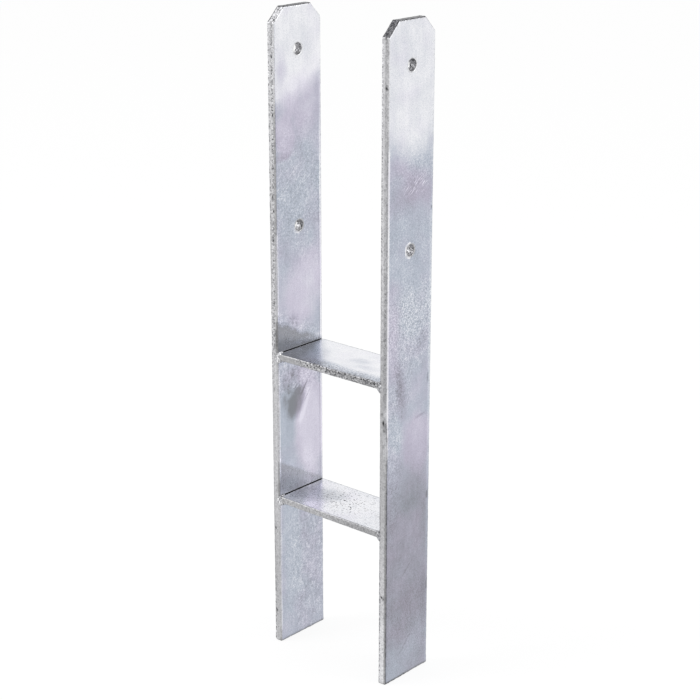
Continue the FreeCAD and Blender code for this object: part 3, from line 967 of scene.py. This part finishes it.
# ------------------------------------------------------------------ welds
def capped_tube(rings):
    """Closed shell from rings (count, around, 3): quads between rings, and a fan of
    triangles to the middle of the first ring and of the last."""
    count, around, _ = rings.shape
    points = np.concatenate([rings.reshape(-1, 3), rings[0].mean(axis=0)[None],
                             rings[-1].mean(axis=0)[None]])
    index = np.arange(count * around).reshape(count, around)
    faces = [quads_between(index[k], index[k + 1]) for k in range(count - 1)]
    first, last = np.full(around, count * around), np.full(around, count * around + 1)
    faces.append(np.stack([np.roll(index[0], -1), index[0], first, first], axis=1))
    faces.append(np.stack([index[-1], np.roll(index[-1], -1), last, last], axis=1))
    return points, np.concatenate(faces)


def blob(centre, radii, seed, lumps, rings=30, around=44, pole_gap=0.06):
    """Lumpy ellipsoid: radii times (cos u, sin u cos v, sin u sin v), with u from pole to
    pole, pushed in and out by a random field."""
    u = np.linspace(pole_gap, math.pi - pole_gap, rings)[:, None]
    v = np.linspace(0, 2 * math.pi, around, endpoint=False)[None, :]
    unit = np.stack([np.broadcast_to(np.cos(u), (rings, around)),
                     np.sin(u) * np.cos(v), np.sin(u) * np.sin(v)], axis=-1)
    base = np.array(centre) + unit * np.array(radii)
    push = lumps * rough_field(base.reshape(-1, 3), 1.7, seed).reshape(rings, around, 1)
    return capped_tube(base + unit * push)


def joined_shells(shells):
    """Several closed shells as one list of points and faces."""
    starts = np.cumsum([0] + [len(points) for points, _ in shells[:-1]])
    return (np.concatenate([points for points, _ in shells]),
            np.concatenate([outward(points, faces) + start
                            for (points, faces), start in zip(shells, starts)]))


# Shine of the welds and its contrast from lump to lump, both painted light: the welds on the left
# bar are painted lit and those on the right painted in shade, and the contrast paints glints and
# dark shade at random.
WELD_SHINE = {"left": (0.72, 1.1), "right": (0.36, 0.8)}
# Half sizes of an end bead's main lump in millimetres, along X, Y and Z.
BEAD_LUMP = {"left": (3.0, 1.45, 4.6), "right": (2.6, 0.9, 3.8)}


def make_weld(node, side, points, faces, seed, material):
    """Weld metal over a node: painted glints and shade that change from lump to lump, and rough
    all over.
    """
    glint_mottle = rough_field(points, 1.4, seed)
    shine, contrast = WELD_SHINE[side]
    layers = {"shine": shine + contrast * glint_mottle, "tarnish": 0.1, "edge": 0.9, "cut": 0.0,
              "sand": 0.4, "speckle": 0.7, "scuff": 0.0,
              "dark": np.clip(-2.6 * glint_mottle - 0.8, 0, 0.9)}
    make_piece(f"{node}_zinc", points, faces, layers, [node], material)


def make_end_bead(level, side, end, settings, material):
    """Weld over a joint's open end: a low blob on the edges it joins, and on the front a lap
    back over the plate's corner with a lump of spatter beside it."""
    node = f"{level}_{side}_{end}_bead"
    low, high = node_box(node)
    plate_low, plate_high = node_box(f"{level}_cross_plate")
    into_post = 1 if side == "left" else -1
    inwards = 1 if end == "front" else -1
    seed = 200 + sum(ord(letter) for letter in node)
    joint_x = plate_low[0] if side == "left" else plate_high[0]
    edge_y = plate_low[1] if end == "front" else plate_high[1]
    top = plate_high[2]
    middle = (low[2] + high[2]) / 2
    lap = settings.lap
    shells = [
        blob((joint_x + 0.2 * MM * into_post, edge_y + 0.35 * MM * inwards, middle + 0.4 * MM),
             np.array(BEAD_LUMP[side]) * MM, seed, settings.lumps)]
    if end == "front":
        shells += [
            blob((joint_x + 0.3 * MM * into_post, edge_y + lap / 2 * inwards, top + 0.1 * MM),
                 (1.1 * MM, lap / 2 + 0.6 * MM, 1.2 * MM), seed + 1, settings.lumps),
            blob((joint_x + 2.2 * MM * into_post, edge_y + 0.9 * MM * inwards, top - 0.2 * MM),
                 (1.8 * MM, 1.1 * MM, 0.7 * MM), seed + 2, settings.lumps)]
    points, faces = joined_shells(shells)
    make_weld(node, side, points, faces, seed, material)


class POSTBASE_OT_end_beads(bpy.types.Operator):
    """Make the weld beads over the front and back ends of the four joints"""

    bl_idname = "post_base.end_beads"
    bl_label = "End beads"

    def execute(self, context):
        material = hot_dip_zinc("hot_dip_zinc_bead", context.scene.post_base_zinc, WELD_RELIEF)
        for level in LEVELS:
            for side in SIDES:
                for end in ("front", "back"):
                    make_end_bead(level, side, end, context.scene.post_base_welds, material)
        return {"FINISHED"}


def make_seam(level, side, settings, material):
    """Fillet weld under a plate end: a slightly hollow quarter-round section carried along
    the joint, swelling and shrinking with the ripples that the weaving electrode left."""
    node = f"{level}_{side}_seam"
    low, high = node_box(node)
    seed = 300 + sum(ord(letter) for letter in node)
    leg = high[2] - low[2]
    into_post = 1 if side == "left" else -1
    corner_x = low[0] if side == "left" else high[0]
    sunk, blunt = 0.5 * MM, 1.2 * MM
    hollow, ripple_share, swell_share = 0.20, 0.05, 0.14
    turn = np.linspace(0, math.pi / 2, 11)
    reach = leg * (1 - hollow * np.sin(2 * turn))
    section = np.column_stack([reach * np.cos(turn), -reach * np.sin(turn)])
    back = np.array([[-sunk, -leg * 0.9], [-sunk, sunk], [leg * 0.9, sunk]])
    section = np.concatenate([section, back])
    length = high[1] - low[1]
    y = np.linspace(-length / 2, length / 2, 150)
    ripple = 1 + ripple_share * np.sin(2 * math.pi * y / settings.ripple)
    ripple += swell_share * field(np.column_stack([y, 0 * y, 0 * y + low[2]]), 5, seed)
    taper = np.sqrt(1 - np.clip((np.abs(y) - length / 2 + blunt) / blunt, 0, 0.995) ** 2)
    size = (ripple * taper)[:, None]
    rings = np.stack([corner_x + into_post * section[:, 0] * size,
                      np.broadcast_to(y[:, None], (len(y), len(section))),
                      high[2] + section[:, 1] * size], axis=-1)
    points, faces = capped_tube(rings)
    faces = outward(points, faces)
    lumps = rough_field(points, 1.8, seed)
    points += vertex_normals(points, faces) * (0.25 * settings.lumps * lumps)[:, None]
    make_weld(node, side, points, faces, seed, material)


class POSTBASE_OT_seams(bpy.types.Operator):
    """Make the weld seams under the four plate ends"""

    bl_idname = "post_base.seams"
    bl_label = "Seams"

    def execute(self, context):
        material = hot_dip_zinc("hot_dip_zinc_seam", context.scene.post_base_zinc, WELD_RELIEF)
        for level in LEVELS:
            for side in SIDES:
                make_seam(level, side, context.scene.post_base_welds, material)
        return {"FINISHED"}


# ------------------------------------------------------------------ stage
WHITE, PAPER = "FFFFFF", "F6F6F6"
FLOOR_GLOW, GLOW_SHARE = 1.03, 0.85     # the floor's own light, and its share where it shows
ROOM_LIGHT, ROOM_SHOWN = 0.8, 1.02      # the room's white as a lamp, and where it shows


def make_floor():
    """Pale floor under the part. It shows white, and keeps the part's soft shadow."""
    reach = 60.0
    mesh = bpy.data.meshes.new("pale_floor")
    mesh.from_pydata([(-reach, -reach, 0), (reach, -reach, 0), (reach, reach, 0),
                      (-reach, reach, 0)], [], [(0, 1, 2, 3)])
    material, add = new_material("matt_white_paper")
    paper = add("ShaderNodeBsdfDiffuse", {"Color": linear(PAPER)})
    glow = add("ShaderNodeEmission", {"Color": linear(WHITE), "Strength": FLOOR_GLOW})
    share = add("ShaderNodeMath", {0: background_rays(add), 1: GLOW_SHARE},
                operation="MULTIPLY")
    surface = add("ShaderNodeMixShader", {0: share, 1: paper, 2: glow})
    add("ShaderNodeOutputMaterial", {"Surface": surface})
    mesh.materials.append(material)
    floor = bpy.data.objects.new("pale_floor", mesh)
    bpy.context.scene.collection.objects.link(floor)


def background_rays(add):
    """1 for the rays that show the background: the camera's, and metal's and glass's."""
    total = 0.0
    for kind in ("Is Camera Ray", "Is Glossy Ray", "Is Transmission Ray"):
        ray = add("ShaderNodeLightPath", output=kind)
        total = add("ShaderNodeMath", {0: total, 1: ray}, operation="MAXIMUM")
    return total


def make_world(scene):
    """Soft white room: it shows white, and lights the part a little less than white."""
    world = bpy.data.worlds.new("white_room")
    scene.world = world
    world.use_nodes = True
    tree = world.node_tree
    tree.nodes.clear()
    add = partial(add_node, tree)
    light, shown = (add("ShaderNodeBackground", {"Color": linear(WHITE), "Strength": strength})
                    for strength in (ROOM_LIGHT, ROOM_SHOWN))
    surface = add("ShaderNodeMixShader", {0: background_rays(add), 1: light, 2: shown})
    add("ShaderNodeOutputWorld", {"Surface": surface})


def soft_box(name, place, look_at, size, power):
    """Square area lamp, turned to look at a point."""
    lamp = bpy.data.lights.new(name, "AREA")
    lamp.size = size
    lamp.energy = power
    holder = bpy.data.objects.new(name, lamp)
    holder.location = place
    holder.rotation_euler = (Vector(look_at) - Vector(place)).to_track_quat("-Z", "Y").to_euler()
    bpy.context.scene.collection.objects.link(holder)


class POSTBASE_OT_stage(bpy.types.Operator):
    """Set the camera, the lamps, the white room and the floor"""

    bl_idname = "post_base.stage"
    bl_label = "Stage"

    def execute(self, context):
        scene = context.scene
        settings = scene.post_base_stage
        scene.view_settings.view_transform = "Standard"
        make_floor()
        make_world(scene)
        middle = (0, 0, settings.look_height)
        soft_box("key_soft_box", (-1.3, -1.6, 1.9), middle, size=1.2, power=settings.key_power)
        soft_box("fill_soft_box", (1.9, 0.9, 1.3), middle, size=1.4, power=settings.fill_power)

        camera = bpy.data.objects.new("camera", bpy.data.cameras.new("camera"))
        camera.data.lens = settings.lens
        turn, lift = settings.azimuth, settings.elevation
        back = Vector((math.sin(turn) * math.cos(lift), -math.cos(turn) * math.cos(lift),
                       math.sin(lift)))
        camera.location = Vector(middle) + back * settings.distance
        camera.rotation_euler = back.to_track_quat("Z", "Y").to_euler()
        scene.collection.objects.link(camera)
        scene.camera = camera
        return {"FINISHED"}


# ------------------------------------------------------------------ panel and registration
OPERATORS = (POSTBASE_OT_side_bars, POSTBASE_OT_cross_plates, POSTBASE_OT_end_beads,
             POSTBASE_OT_seams, POSTBASE_OT_stage)
SETTINGS = {"post_base_bars": BarSettings, "post_base_plates": PlateSettings,
            "post_base_welds": WeldSettings, "post_base_zinc": ZincSettings,
            "post_base_stage": StageSettings}


class POSTBASE_PT_panel(bpy.types.Panel):
    """Lists the steps that dress the post base"""

    bl_label = "Post Base"
    bl_space_type = "VIEW_3D"
    bl_region_type = "UI"
    bl_category = "Post Base"

    def draw(self, context):
        for operator in OPERATORS:
            self.layout.operator(operator.bl_idname)
        for name, group in SETTINGS.items():
            box = self.layout.box()
            for prop in group.__annotations__:
                box.prop(getattr(context.scene, name), prop)


def register():
    for group in SETTINGS.values():
        bpy.utils.register_class(group)
    for name, group in SETTINGS.items():
        setattr(bpy.types.Scene, name, PointerProperty(type=group))
    for cls in (*OPERATORS, POSTBASE_PT_panel):
        bpy.utils.register_class(cls)


def unregister():
    for cls in (POSTBASE_PT_panel, *OPERATORS[::-1]):
        bpy.utils.unregister_class(cls)
    for name, group in SETTINGS.items():
        delattr(bpy.types.Scene, name)
        bpy.utils.unregister_class(group)


def main():
    register()
    bpy.ops.post_base.side_bars()
    bpy.ops.post_base.cross_plates()
    bpy.ops.post_base.end_beads()
    bpy.ops.post_base.seams()
    bpy.ops.post_base.stage()


if __name__ == "__main__":
    main()
